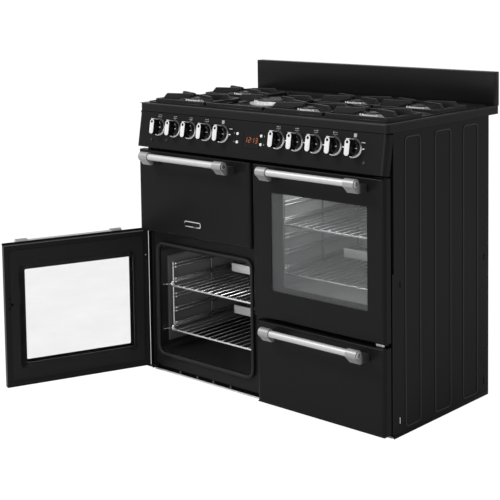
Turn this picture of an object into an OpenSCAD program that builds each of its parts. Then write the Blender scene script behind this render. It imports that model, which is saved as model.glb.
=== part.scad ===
// Range cooker with a four-burner-column gas hob, two ovens, a grill and a storage drawer.
// Frame: X to the right seen from the front, Y to the back, Z up, origin on the floor
// below the middle of the hob. Millimetres. The tall left oven door stands open.

/* [Body] */
// Width across the hob, the splashback and the control panel
range_w = 1000; // [990:1:1040]
// Height of the hob surface above the floor
hob_z = 908; // [900:1:930]
// Depth of the hob in front of the origin
hob_front = 300; // [296:1:304]
// Depth of the hob behind the origin
hob_back = 295; // [290:1:330]
// Thickness of the hob edge
hob_edge = 26; // [20:1:30]
// Height of the splashback above the hob
splash_h = 105; // [60:1:200]
// Distance of the side panels' outer faces from the middle
side_x = 497; // [495:0.5:499]
// Depth of the side panels behind the origin
side_back = 235; // [225:1:260]
// Depth of the side panels in front of the origin
side_front = 270; // [270:1:272]
// Height of the plinth ring
plinth_h = 12; // [8:1:14]

/* [Control panel] */
// Height of the lower edge of the control panel
panel_z0 = 766; // [762:1:770]
// How far the lower edge of the control panel stands in front of its upper edge
panel_kick = 20; // [8:1:22]
// Corner radius of the control panel and the hob
corner_r = 14; // [8:1:20]
// Height of the knob centres above the floor
knob_z = 834; // [825:0.5:842]
// Radius of the knob's round base
knob_r = 21; // [17:0.5:21]
// Distance from the panel to the front of the knob's grip
knob_reach = 34; // [26:1:42]
// Width of the knob's grip bar
grip_w = 20; // [14:1:24]
// Length of the knob's grip bar
grip_l = 49; // [40:1:54]
// Radius of the knob spindle
spindle_r = 4; // [3:0.5:5]
// Outer radius of the bright ring round each knob
bezel_r = 28; // [27:0.5:30]
// Width of the clock window
clock_w = 66; // [50:1:70]
// Height of the clock window
clock_h = 50; // [40:1:54]
// Radius of the timer buttons
button_r = 4.6; // [3:0.1:6]

/* [Doors] */
// Distance of the door fronts in front of the origin
door_front = 315; // [313:1:316]
// Depth of the doors
door_t = 31; // [28:1:31]
// Radius of the doors' upright front edges
door_r = 13; // [11:1:15]
// Gap from the middle line to each door
mid_gap = 3; // [2:0.5:4]
// Bottom of the drawer front
low_z = 18; // [16:0.5:20]
// Bottom of the left oven door
left_z0 = 23; // [20:0.5:26]
// Top of the left oven door
left_top = 481; // [470:1:481]
// Bottom of the grill door
grill_z0 = 487; // [487:1:491]
// Top of the grill door and of the right oven door
high_top = 755; // [740:1:756]
// Top of the drawer front
drawer_top = 271; // [262:1:273]
// Left edge of the drawer front
drawer_x0 = 16; // [4:1:20]
// Bottom of the right oven door
right_z0 = 285; // [285:1:290]
// Angle at which the left oven door stands open
left_open = 111; // [0:1:116]
// Distance of the door hinges from the middle
hinge_x = 491; // [490:0.5:492]
// Distance of the door hinges in front of the origin
hinge_y = 299; // [298:0.5:300]

/* [Handles] */
// Length of a handle over its end brackets
handle_l = 364; // [300:2:400]
// Radius of the handle tube
tube_r = 10.3; // [8:0.1:11]
// Distance from a door front to the middle of its handle tube
standoff = 50; // [42:0.5:56]
// Width of one end bracket
bracket_w = 37; // [28:1:44]
// Middle of the handles of the left oven door and the grill door
left_handle_x = -248; // [-262:1:-240]
// Middle of the right oven door's handle
right_handle_x = 256; // [240:1:262]
// Middle of the drawer's handle
drawer_handle_x = 260; // [244:1:264]

/* [Ovens] */
// Distance from the middle line to the near wall of an oven
oven_near = 47; // [46:1:52]
// Distance from the middle line to the far wall of an oven
oven_far = 449; // [440:1:449]
// Floor of the left oven
left_floor = 71; // [70:1:76]
// Roof of the left oven
left_roof = 426; // [422:1:430]
// Floor of the right oven
right_floor = 341; // [338:1:344]
// Roof of the right oven
right_roof = 701; // [690:1:702]
// Depth of the ovens behind the origin
oven_back = 180; // [172:1:200]
// Radius of the oven corners
oven_r = 20; // [14:1:24]
// Radius of the shelf wires
wire_r = 2.5; // [2:0.1:2.8]
// Number of cross bars of one shelf
shelf_bars = 12; // [6:1:14]

/* [Hob] */
// Front burner row, in front of the origin
row_front = 179; // [172:1:182]
// Rear burner row, behind the origin
row_rear = 58; // [50:1:68]
// Radius of a small burner crown
crown_r = 32; // [24:1:36]
// Radius of the wok burner crown
wok_r = 62; // [52:1:66]
// Height of the pan supports' top edge above the hob
support_h = 27; // [24:1:34]
// Width of a pan support bar
support_w = 9; // [7:0.5:12]

/* [Hidden] */
$fn = 48;
eps = 1;                      // how far a cutting body runs past the face it cuts
fit = 0.06;                   // radial clearance of a running fit
sheet = 2;                    // folded sheet metal
tray_sheet = 3;               // pressed hob sheet
frame_y = -268;               // front face of the front frame
shadow = 1.5;                 // gap between the control panel and the hob edge
rear_y = side_back - 5;       // rear face of the back panel
mid_oven = (oven_near + oven_far) / 2;
catch_x = 25.3;               // distance of the door catches from the middle
lean = atan(panel_kick / (hob_z - hob_edge - panel_z0));
panel_y0 = -hob_front - panel_kick;
panel_len = (hob_z - hob_edge - panel_z0 - shadow) / cos(lean);
knob_h = (knob_z - panel_z0) / cos(lean);
door_back = -door_front + door_t;
tray_z = hob_z - hob_edge;
LEFT_KNOBS = [for (i = [0:4]) -402 + 70 * i];
RIGHT_KNOBS = [for (i = [0:4]) 104.5 + 71.3 * i];
KNOBS = concat(LEFT_KNOBS, RIGHT_KNOBS);
BUTTONS = [[-55, 75], [-55, 49], [41.5, 75], [41.5, 49]];
RUNGS = [152, 203, 252, 303, 354];                  // shelf heights in the left oven
COLUMNS = [[-464, -239], [-235, 8], [13, 242], [246, 478]];

// ---- shared shapes -------------------------------------------------------------

// Rounded rectangle centred on the origin
module plate2d(w, h, r) {
    square([w - 2 * r, h], center = true);
    square([w, h - 2 * r], center = true);
    for (sx = [-1, 1], sy = [-1, 1])
        translate([sx * (w / 2 - r), sy * (h / 2 - r)])
            circle(r);
}

// Rounded rectangle between two corners
module span2d(a0, a1, b0, b1, r)
    translate([(a0 + a1) / 2, (b0 + b1) / 2])
        plate2d(a1 - a0, b1 - b0, r);

// Ring between a rounded rectangle and the same one drawn in by t
module ring2d(a0, a1, b0, b1, r, t)
    difference() {
        span2d(a0, a1, b0, b1, r);
        span2d(a0 + t, a1 - t, b0 + t, b1 - t, max(r - t, 0.5));
    }

// A front view made solid between two depths
module front_slab(y0, y1)
    translate([0, y1, 0])
        rotate([90, 0, 0])
            linear_extrude(y1 - y0)
                children();

// A side view, with Y across and Z up, made solid between two widths
module side_slab(x0, x1)
    translate([x0, 0, 0])
        rotate([90, 0, 90])
            linear_extrude(x1 - x0)
                children();

// A plan made solid between two heights
module plan_slab(z0, z1)
    translate([0, 0, z0])
        linear_extrude(z1 - z0)
            children();

// A box between two corners
module box(x0, x1, y0, y1, z0, z1)
    translate([x0, y0, z0])
        cube([x1 - x0, y1 - y0, z1 - z0]);

// Plan of a folded front: square at the back, with rounded corners at the front
module fold2d(x0, x1, y0, y1, r) {
    translate([x0, y0 + r])
        square([x1 - x0, y1 - y0 - r]);
    translate([x0 + r, y0])
        square([x1 - x0 - 2 * r, r]);
    for (x = [x0 + r, x1 - r])
        translate([x, y0 + r])
            circle(r);
}

// Frame of the leaning control panel: X across, Z up along its face, Y into it
module on_panel()
    translate([0, panel_y0, panel_z0])
        rotate([-lean, 0, 0])
            children();

// Frame of a control on the panel: Z points out of the face at x, h
module control_at(x, h)
    on_panel()
        translate([x, 0, h])
            rotate([90, 0, 0])
                children();

// The left oven door's closed place turned to its open one
module swung_left()
    translate([-hinge_x, -hinge_y, 0])
        rotate([0, 0, -left_open])
            translate([hinge_x, hinge_y, 0])
                children();

// Straight round wire between two heights, depths or widths
module wire_x(x0, x1, y, z, r = wire_r)
    translate([x0, y, z])
        rotate([0, 90, 0])
            cylinder(h = x1 - x0, r = r, $fn = 24);

module wire_y(x, y0, y1, z, r = wire_r)
    translate([x, y1, z])
        rotate([90, 0, 0])
            cylinder(h = y1 - y0, r = r, $fn = 24);

module wire_z(x, y, z0, z1, r = wire_r)
    translate([x, y, z0])
        cylinder(h = z1 - z0, r = r, $fn = 24);

// ---- carcass -------------------------------------------------------------------

// Plinth ring of folded channel, open at the top
module base_frame() {
    w = side_x - 7;
    channel = 24;
    color("gainsboro")
        difference() {
            plan_slab(0, plinth_h)
                ring2d(-w, w, frame_y, rear_y + 2, 6, channel);
            plan_slab(sheet, plinth_h + eps)
                ring2d(-w + sheet, w - sheet, frame_y + sheet, rear_y + 2 - sheet,
                       4, channel - 2 * sheet);
        }
}

// Side panel: a folded tray with three tall pressed outlines and four slots
module side_panel() {
    rim = 17;
    skin = 2.5;
    bead_h = 1;
    bead_w = 5;
    color("#26272a") {
        difference() {
            box(side_x - rim, side_x, -side_front, side_back, plinth_h, tray_z);
            box(side_x - rim - eps, side_x - skin, frame_y, rear_y,
                plinth_h + skin, tray_z - skin);
            for (slot = [[-240, 48], [-240, 444], [208, 50], [208, 444]])
                box(side_x - skin - eps, side_x + eps, slot[0] - 2.5, slot[0] + 2.5,
                    slot[1] - 10, slot[1] + 10);
        }
        for (span = [[-216, -136], [-64, 23], [88, 172]])
            side_slab(side_x, side_x + bead_h)
                ring2d(span[0], span[1], plinth_h + 8, tray_z - 16, 16, bead_w);
    }
}

module side_panel_right()
    side_panel();

module side_panel_left()
    mirror([1, 0, 0])
        side_panel();

// Back panel with stiffening beads and two fields of cooling slots
module back_panel() {
    w = side_x - 3;
    pitch = 14;
    color("silver")
        difference() {
            union() {
                front_slab(rear_y - sheet, rear_y)
                    span2d(-w, w, plinth_h + 3, tray_z - 3, 3);
                for (sx = [-1, 1])
                    front_slab(rear_y, rear_y + 3)
                        ring2d(sx * mid_oven - 180, sx * mid_oven + 180, 120, 600, 30, 8);
            }
            for (sx = [-1, 1], i = [0:9])
                front_slab(rear_y - sheet - eps, rear_y + eps)
                    span2d(sx * mid_oven - 90, sx * mid_oven + 90,
                           680 + i * pitch, 686 + i * pitch, 2.9);
        }
}

// Front frame: one sheet pierced for both ovens, the grill and the drawer
module front_frame() {
    w = side_x - 3;
    color("#1b1c1e")
        difference() {
            front_slab(frame_y, frame_y + sheet)
                span2d(-w, w, plinth_h + 3, tray_z - 6, 2);
            front_slab(frame_y - eps, frame_y + sheet + eps) {
                span2d(-oven_far, -oven_near, left_floor, left_roof, oven_r);
                span2d(oven_near, oven_far, right_floor, right_roof, oven_r);
                span2d(-oven_far, -oven_near, grill_z0 + 60, high_top - 24, oven_r);
                span2d(drawer_x0 + 4, 480, low_z + 10, drawer_top - 6, 8);
            }
        }
}

// Oven or grill box: rounded walls, a closed back and a flange behind the frame
module cavity(x0, x1, z0, z1, y1) {
    y0 = frame_y + sheet;
    flange = 12;
    difference() {
        union() {
            front_slab(y0, y1)
                span2d(x0 - sheet, x1 + sheet, z0 - sheet, z1 + sheet, oven_r + sheet);
            front_slab(y0, y0 + sheet)
                span2d(x0 - flange, x1 + flange, z0 - flange, z1 + flange, oven_r + flange);
        }
        front_slab(y0 - eps, y1 - sheet)
            span2d(x0, x1, z0, z1, oven_r);
    }
}

// Flat wall liners of an oven, one on each side
module wall_liners(x0, x1, z0, z1)
    for (x = [x0 - eps, x1 - 3])
        box(x, x + 3 + eps, -235, 150, z0 + 26, z1 - 43);

module left_oven_cavity()
    color("#44464a")
        union() {
            cavity(-oven_far, -oven_near, left_floor, left_roof, oven_back);
            wall_liners(-oven_far, -oven_near, left_floor, left_roof);
        }

module right_oven_cavity()
    color("#6b6d70")
        union() {
            cavity(oven_near, oven_far, right_floor, right_roof, oven_back);
            wall_liners(oven_near, oven_far, right_floor, right_roof);
        }

module grill_cavity()
    color("#44464a")
        cavity(-oven_far, -oven_near, grill_z0 + 60, high_top - 24, oven_back - 60);

// Two C-section runners that carry the drawer
module drawer_runners()
    color("silver")
        for (m = [0, 1])
            translate([m * range_w / 2, 0, 0])
                mirror([m, 0, 0])
                    difference() {
                        box(22, 36, frame_y + 5, oven_back, 110, 140);
                        box(24, 36 + eps, frame_y + 5 - eps, oven_back - sheet, 112, 138);
                    }

// ---- control panel ---------------------------------------------------------------

// Leaning folded panel with rounded ends, pierced for the controls
module control_panel() {
    w = range_w / 2;
    skin = 2.5;
    depth = (hob_front - side_front - 1.5) / cos(lean);
    color("#1d1e21")
        difference() {
            on_panel()
                difference() {
                    linear_extrude(panel_len)
                        fold2d(-w, w, 0, depth, corner_r);
                    translate([0, 0, skin])
                        linear_extrude(panel_len - 2 * skin)
                            fold2d(-w + skin, w - skin, skin, depth + eps, corner_r - skin);
                    translate([0, skin + eps, knob_h - 7.5])
                        rotate([90, 0, 0])
                            linear_extrude(skin + 2 * eps)
                                plate2d(clock_w, clock_h, 3);
                }
            for (x = KNOBS)
                control_at(x, knob_h)
                    translate([0, 0, -skin - eps])
                        cylinder(h = skin + 2 * eps, r = spindle_r + fit);
            for (b = BUTTONS)
                control_at(b[0], b[1])
                    translate([0, 0, -skin - eps])
                        cylinder(h = skin + 2 * eps, r = button_r + fit);
        }
}

// Bright dished rings round the ten knobs: each slopes down from its lip to the knob
module knob_bezels() {
    lip = 4.2;
    inner = knob_r + 0.5;
    color("whitesmoke")
        for (x = KNOBS)
            control_at(x, knob_h)
                rotate_extrude()
                    polygon([[inner, 0], [bezel_r, 0], [bezel_r, lip - 0.6],
                             [bezel_r - 0.6, lip], [bezel_r - 1.4, lip], [inner, 0.8]]);
}

// Dark clock window with a stepped frame
module clock_display()
    color("#101012")
        control_at(0, knob_h - 7.5) {
            translate([0, 0, -8])
                linear_extrude(9)
                    plate2d(clock_w - 0.4, clock_h - 0.4, 2.8);
            linear_extrude(1.8)
                ring2d(-clock_w / 2 - 2, clock_w / 2 + 2, -clock_h / 2 - 2, clock_h / 2 + 2,
                       5, 4);
        }

// Round push button with a domed cap
module timer_button(b)
    color("white")
        control_at(b[0], b[1]) {
            translate([0, 0, -6])
                cylinder(h = 8.6, r = button_r);
            translate([0, 0, 2.6])
                cylinder(h = 0.9, r1 = button_r, r2 = button_r - 0.9);
        }

module timer_button_1() timer_button(BUTTONS[0]);
module timer_button_2() timer_button(BUTTONS[1]);
module timer_button_3() timer_button(BUTTONS[2]);
module timer_button_4() timer_button(BUTTONS[3]);

// Knob: turned base, grip bar with round ends and a spindle through the panel
module knob(x) {
    lift = 0.6;
    base_h = 13;
    soft = 1.4;
    color("#17181a")
        control_at(x, knob_h)
            difference() {
                union() {
                    rotate_extrude()
                        polygon([[0, lift], [knob_r - 1, lift], [knob_r, lift + 1],
                                 [knob_r, base_h - 3], [knob_r - 1, base_h - 1],
                                 [knob_r - 3, base_h], [0, base_h]]);
                    translate([0, 0, base_h - 5])
                        linear_extrude(knob_reach - soft - base_h + 5)
                            plate2d(grip_w, grip_l, grip_w / 2 - 0.5);
                    translate([0, 0, base_h])
                        linear_extrude(knob_reach - base_h)
                            plate2d(grip_w - 2 * soft, grip_l - 2 * soft,
                                    grip_w / 2 - 0.5 - soft);
                    translate([0, 0, -22])
                        cylinder(h = 24, r = spindle_r);
                }
                translate([0, grip_l / 2 - 8, knob_reach - 0.8])
                    cylinder(h = 2, r = 2);
            }
}

module knob_1() knob(KNOBS[0]);
module knob_2() knob(KNOBS[1]);
module knob_3() knob(KNOBS[2]);
module knob_4() knob(KNOBS[3]);
module knob_5() knob(KNOBS[4]);
module knob_6() knob(KNOBS[5]);
module knob_7() knob(KNOBS[6]);
module knob_8() knob(KNOBS[7]);
module knob_9() knob(KNOBS[8]);
module knob_10() knob(KNOBS[9]);

// ---- hob -------------------------------------------------------------------------

// Pressed tray with a rolled upper edge, a raised border and the burner throats
module hob_tray() {
    w = range_w;
    d = hob_front + hob_back;
    mid = (hob_back - hob_front) / 2;
    roll = 5;
    border = 10;
    inset_x = 12;
    inset_y = 20;
    flange = 20;
    color("#1c1d20")
        difference() {
            union() {
                intersection() {
                    plan_slab(tray_z, hob_z)
                        translate([0, mid])
                            plate2d(w, d, corner_r);
                    side_slab(-w / 2 - eps, w / 2 + eps)
                        translate([mid, hob_z - hob_edge])
                            plate2d(d, 2 * hob_edge, roll);
                    front_slab(-hob_front - eps, hob_back + eps)
                        translate([0, hob_z - hob_edge])
                            plate2d(w, 2 * hob_edge, roll);
                }
                plan_slab(hob_z - tray_sheet, hob_z + 4)
                    ring2d(-w / 2 + inset_x, w / 2 - inset_x,
                           -hob_front + inset_y, hob_back - inset_y - 25, 22, border);
            }
            plan_slab(tray_z + sheet, hob_z - tray_sheet)
                translate([0, mid])
                    plate2d(w - 2 * tray_sheet, d - 2 * tray_sheet, corner_r - tray_sheet);
            plan_slab(tray_z - eps, hob_z - tray_sheet)
                translate([0, mid])
                    plate2d(w - 2 * flange, d - 2 * flange, 4);
            for (c = BURNERS)
                translate([c[0], c[1], tray_z])
                    cylinder(h = hob_edge + 5, r = c[2] - 8 + fit);
        }
}

// Splashback: a closed wedge of folded sheet with a rounded top edge
module splashback() {
    foot = 31;
    crest = 17;
    r = 7;
    rise = splash_h - r;
    color("#1a1b1d")
        difference() {
            side_slab(-range_w / 2, range_w / 2)
                splash2d(0, foot, crest, rise, r);
            side_slab(-range_w / 2 + sheet, range_w / 2 - sheet)
                splash2d(sheet, foot, crest, rise, r);
        }
}

// Side view of the splashback drawn in by t
module splash2d(t, foot, crest, rise, r) {
    y = hob_back;
    polygon([[y - foot + t, hob_z - (t > 0 ? eps : 0)], [y - t, hob_z - (t > 0 ? eps : 0)],
             [y - t, hob_z + rise], [y - crest + t, hob_z + rise]]);
    translate([y - crest + r, hob_z + rise])
        circle(r - t);
    translate([y - r, hob_z + rise])
        circle(r - t);
    translate([y - crest + r, hob_z + rise])
        square([crest - 2 * r, r - t]);
}

// Burner places: x, y and crown radius
mid_col = [for (c = COLUMNS) (c[0] + c[1]) / 2];
BURNERS = concat(
    [for (i = [0, 2, 3], y = [-row_front, row_rear]) [mid_col[i], y, crown_r]],
    [[mid_col[1], (row_rear - row_front) / 2, wok_r]]);

// Toothed crowns with a skirt and a throat
module burner_crowns()
    color("lightgray")
        for (b = BURNERS)
            translate([b[0], b[1], hob_z]) {
                cylinder(h = 3, r = b[2] * 1.35);
                translate([0, 0, -10])
                    cylinder(h = 12, r = b[2] - 8);
                translate([0, 0, 2])
                    cylinder(h = 3, r = b[2] - 2);
                translate([0, 0, 4.5])
                    linear_extrude(5.5)
                        difference() {
                            circle(b[2]);
                            for (a = [0:15:345])
                                rotate(a)
                                    translate([b[2] - 4, -1])
                                        square([8, 2]);
                        }
            }

// Enamelled caps with a soft rim
module burner_caps()
    color("#151517")
        for (b = BURNERS)
            translate([b[0], b[1], hob_z + 10])
                rotate_extrude()
                    polygon([[0, 0], [b[2] - 3, 0], [b[2] - 2, 1.2], [b[2] - 3, 3.4],
                             [b[2] - 7, 4.6], [0, 5]]);

// Finger of a pan support, seen from the side: a deep blade with a sloping outer end
module finger2d(run) {
    top = support_h;
    polygon([[0, 6], [0, 14.5], [11, top], [run - 3, top], [run, top - 4],
             [run - 2, 17], [run - 16, 17], [run * 0.55, 6]]);
}

// One pan support: a low rail on corner feet and four blades that close in on a burner
module pan_support(x0, x1, y0, y1, clear) {
    cx = (x0 + x1) / 2;
    cy = (y0 + y1) / 2;
    half = (x1 - x0) / 2;
    splay = 44;
    rail_z0 = 4;
    rail_z1 = 13;
    pad = 11;
    start = half - 3;
    reach = norm([start, splay]) - clear;
    translate([0, 0, hob_z]) {
        plan_slab(rail_z0, rail_z1)
            ring2d(x0, x1, y0, y1, 12, support_w);
        for (x = [x0 + pad, x1 - pad], y = [y0 + pad, y1 - pad])
            translate([x, y, 0])
                cylinder(h = rail_z1 - 1, r = 9);
        for (sx = [-1, 1], sy = [-1, 1])
            translate([cx + sx * start, cy + sy * splay, 0])
                rotate([90, 0, atan2(-sy * splay, -sx * start)])
                    translate([0, 0, -support_w / 2])
                        linear_extrude(support_w)
                            finger2d(reach);
    }
}

module pan_support_pair(c)
    color("#202124")
        for (y = [-row_front, row_rear])
            pan_support(c[0], c[1], y - 88, y + 88, 22);

module pan_supports_left() pan_support_pair(COLUMNS[0]);
module pan_supports_middle() pan_support_pair(COLUMNS[2]);
module pan_supports_right() pan_support_pair(COLUMNS[3]);

module wok_support()
    color("#202124")
        pan_support(COLUMNS[1][0], COLUMNS[1][1], -row_front - 88, row_rear + 88, 44);

// ---- doors -----------------------------------------------------------------------

// Door skin: a folded tray with soft edges and a narrow rim turned in at the back
module door_skin(x0, x1, z0, z1) {
    soft = 4;
    rim = 17;
    rim_top = 10;
    difference() {
        intersection() {
            plan_slab(z0, z1)
                fold2d(x0, x1, -door_front, door_back, door_r);
            side_slab(x0 - eps, x1 + eps)
                span2d(-door_front, door_back + 2 * soft, z0, z1, soft);
        }
        plan_slab(z0 + sheet, z1 - sheet)
            fold2d(x0 + sheet, x1 - sheet, -door_front + sheet, door_back - sheet,
                   door_r - sheet);
        front_slab(door_back - sheet - eps, door_back + eps)
            span2d(x0 + rim, x1 - rim, z0 + rim, z1 - rim_top, 8);
    }
}

// Through-cut for a window
module window_cut(x0, x1, z0, z1, y0, y1, r = 4)
    front_slab(y0, y1)
        span2d(x0, x1, z0, z1, r);

// Round holes for the two hinge pins of a side-hung door
module pin_holes(x, z0, z1)
    for (z = [z0, z1 - sheet])
        translate([x, -hinge_y, z - eps])
            cylinder(h = sheet + 2 * eps, r = 3 + fit);

// Inner panel of a door: a raised field on a base sheet behind the skin's rim
module door_liner(x0, x1, z0, z1) {
    base = door_back - sheet;
    front_slab(base - sheet, base)
        span2d(x0 + 6, x1 - 6, z0 + 6, z1 - 6, 4);
    front_slab(base - 0.5, door_back + 1)
        span2d(x0 + 21, x1 - 17.3, z0 + 30, z1 - 16, 12);
}

// Tube of a handle
module handle_bar(cx, z)
    color("lightgray")
        wire_x(cx - handle_l / 2 + 9, cx + handle_l / 2 - 9, -door_front - standoff, z,
               tube_r);

// Side view of an end bracket about the tube's middle: round head, foot on the door
module bracket2d() {
    head = tube_r + 4.2;
    circle(head);
    polygon([[-head * 0.86, -head * 0.5], [8, -28], [standoff, -29], [standoff, -6],
             [head * 0.98, -2], [0, 0]]);
}

// The two end brackets of a handle
module handle_brackets(cx, z)
    color("silver")
        for (s = [-1, 1])
            translate([cx + s * (handle_l / 2 - bracket_w / 2), -door_front - standoff, z])
                difference() {
                    side_slab(-bracket_w / 2, bracket_w / 2)
                        bracket2d();
                    translate([-s * (bracket_w / 2 + eps), 0, 0])
                        rotate([0, s * 90, 0])
                            cylinder(h = bracket_w - 9 + eps + 0.2, r = tube_r + fit);
                    translate([s * (bracket_w / 2 + eps), 0, 0])
                        rotate([0, -s * 90, 0])
                            difference() {
                                cylinder(h = eps + 2.5, r = 9.5);
                                cylinder(h = eps + 2.5, r = 6);
                            }
                }

// Left oven door, drawn closed and then swung
LDOOR = [-side_x, -mid_gap, left_z0, left_top];
LWIN = [-438, -78, 98, 399];

module left_door_skin()
    color("#1c1d20")
        swung_left()
            difference() {
                door_skin(LDOOR[0], LDOOR[1], LDOOR[2], LDOOR[3]);
                window_cut(LWIN[0], LWIN[1], LWIN[2], LWIN[3],
                           -door_front - eps, -door_front + sheet + eps);
                pin_holes(-hinge_x, LDOOR[2], LDOOR[3]);
            }

module left_door_glass()
    color([0.1, 0.1, 0.12, 0.5])
        swung_left()
            window_cut(LWIN[0] - 14, LWIN[1] + 14, LWIN[2] - 14, LWIN[3] + 14,
                       -door_front + sheet, -door_front + sheet + 4);

module left_door_liner()
    color("#2c2e31")
        swung_left()
            difference() {
                door_liner(LDOOR[0], LDOOR[1], LDOOR[2], LDOOR[3]);
                window_cut(LWIN[0] - 2, LWIN[1] + 9, LWIN[2] - 2, LWIN[3] + 2,
                           door_back - 2 * sheet - eps, door_back + 2 * eps);
                translate([-catch_x, door_back - 6, 291])
                    rotate([-90, 0, 0])
                        cylinder(h = 10, r = 4.4);
            }

module left_door_inner_glass()
    color([0.15, 0.15, 0.17, 0.5])
        swung_left()
            window_cut(-oven_far + 2, -oven_near - 2, left_floor + 8, left_roof - 8,
                       door_back + 1, door_back + 4, 16);

module left_door_bar()
    swung_left()
        handle_bar(left_handle_x, left_top - 12);

module left_door_brackets()
    swung_left()
        handle_brackets(left_handle_x, left_top - 12);

// Right oven door, closed
RDOOR = [mid_gap, side_x, right_z0, high_top];
RWIN = [81, 438, 372, 673];

module right_door_skin()
    color("#1c1d20")
        difference() {
            door_skin(RDOOR[0], RDOOR[1], RDOOR[2], RDOOR[3]);
            window_cut(RWIN[0], RWIN[1], RWIN[2], RWIN[3],
                       -door_front - eps, -door_front + sheet + eps);
            pin_holes(hinge_x, RDOOR[2], RDOOR[3]);
        }

module right_door_glass()
    color([0.1, 0.1, 0.12, 0.5])
        window_cut(RWIN[0] - 14, RWIN[1] + 14, RWIN[2] - 14, RWIN[3] + 14,
                   -door_front + sheet, -door_front + sheet + 4);

module right_door_liner()
    color("#2c2e31")
        difference() {
            mirror([1, 0, 0])
                door_liner(-RDOOR[1], -RDOOR[0], RDOOR[2], RDOOR[3]);
            window_cut(RWIN[0] + 20, RWIN[1] - 2, RWIN[2] + 8, RWIN[3] + 2,
                       door_back - 2 * sheet - eps, door_back + 2 * eps);
        }

module right_door_inner_glass()
    color([0.15, 0.15, 0.17, 0.5])
        window_cut(oven_near + 2, oven_far - 2, right_floor + 8, right_roof - 8,
                   door_back + 1, door_back + 4, 16);

module right_door_bar()
    handle_bar(right_handle_x, high_top - 12);

module right_door_brackets()
    handle_brackets(right_handle_x, high_top - 12);

// Grill door, hinged along its lower edge
GDOOR = [-side_x, -mid_gap, grill_z0, high_top];
GRILL_ARMS = [-465, -35];
grill_axis = [-308, grill_z0 + 6];

// Slots through which the grill hinge arms enter the door
module arm_slots()
    for (x = GRILL_ARMS)
        box(x - 5, x + 5, -door_front + sheet + 0.5, door_back + 2 * eps,
            grill_z0 - eps, grill_z0 + 26);

module grill_door_skin()
    color("#1c1d20")
        difference() {
            door_skin(GDOOR[0], GDOOR[1], GDOOR[2], GDOOR[3]);
            arm_slots();
        }

module grill_door_liner()
    color("#2c2e31")
        difference() {
            door_liner(GDOOR[0], GDOOR[1], GDOOR[2], GDOOR[3]);
            arm_slots();
        }

module grill_door_bar()
    handle_bar(left_handle_x, high_top - 12);

module grill_door_brackets()
    handle_brackets(left_handle_x, high_top - 12);

// Drawer under the right oven
module drawer_front()
    color("#1c1d20")
        door_skin(drawer_x0, side_x, low_z, drawer_top);

module drawer_box() {
    wall = 1.6;
    deep = 150;
    color("gray") {
        difference() {
            union() {
                box(39, 461, door_back, deep, low_z + 18, 215);
                front_slab(door_back, door_back + wall)
                    span2d(drawer_x0 + 9, 488, low_z + 8, drawer_top - 6, 6);
            }
            box(39 + wall, 461 - wall, door_back + wall, deep - wall,
                low_z + 18 + wall, 215 + eps);
        }
        for (x = [26, 461])
            box(x, x + 13, frame_y + 10, deep, 115, 135);
    }
}

module drawer_bar()
    handle_bar(drawer_handle_x, drawer_top - 14);

module drawer_brackets()
    handle_brackets(drawer_handle_x, drawer_top - 14);

// ---- oven fittings -----------------------------------------------------------------

// Ladder rack on one oven wall: three uprights and pairs of runner wires
module ladder(x_up, x_run, z0, z1, rungs) {
    y0 = -221;
    y1 = 150;
    gap = 5.8;
    for (y = [y0, (y0 + y1) / 2, y1])
        wire_z(x_up, y, z0, z1);
    for (z = rungs, s = [-1, 1])
        wire_y(x_run, y0 - 4, y1 + 4, z + s * gap);
}

// Both racks of an oven whose middle stands at x
module rack_pair(x, z0, z1, rungs)
    for (s = [-1, 1])
        ladder(x + s * (half_oven - 10), x + s * (half_oven - 14.6), z0, z1, rungs);

half_oven = (oven_far - oven_near) / 2;
R_RUNGS = [for (z = RUNGS) z + right_floor - left_floor];

module oven_side_racks()
    color("silver") {
        rack_pair(-mid_oven, RUNGS[0] - 16, RUNGS[4] + 12, RUNGS);
        rack_pair(mid_oven, R_RUNGS[0] - 16, R_RUNGS[4] + 12, R_RUNGS);
    }

// Wire that runs along Y and bends down at its front end
module bent_wire(x, y0, y1, z, drop, bend, r) {
    wire_y(x, y0 + bend, y1, z, r);
    wire_z(x, y0, z - drop, z - bend, r);
    translate([x, y0 + bend, z - bend])
        rotate([180, -90, 0])
            rotate_extrude(angle = 90)
                translate([bend, 0])
                    circle(r, $fn = 24);
}

// Wire shelf: side rails bent down at the front to a front wire, a back frame that
// passes between the runners and straight cross bars on top
module shelf(x, z) {
    half = half_oven - 17;
    y0 = -234;
    y1 = 141;
    drop = 14;
    pitch = 2 * half / (shelf_bars + 1);
    for (s = [-1, 1]) {
        bent_wire(x + s * half, y0, y1 + 3, z, drop, 7, 3);
        wire_z(x + s * (half - 10), y1, z - drop, z, 2.3);
    }
    wire_x(x - half - 2, x + half + 2, y0, z - drop, 3.3);
    wire_x(x - half + 7, x + half - 7, y1, z - drop, 3.3);
    wire_x(x - half, x + half, y1, z, 2.7);
    for (i = [1:shelf_bars])
        wire_y(x - half + i * pitch, y0 - 2.5, y1 + 2.5, z - drop + 4, 1.8);
}

module left_shelf_upper()
    color("lightgray")
        shelf(-mid_oven, RUNGS[3]);

module left_shelf_lower()
    color("lightgray")
        shelf(-mid_oven, RUNGS[0]);

module right_oven_shelves()
    color("lightgray")
        for (i = [0, 3])
            shelf(mid_oven, R_RUNGS[i]);

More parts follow.
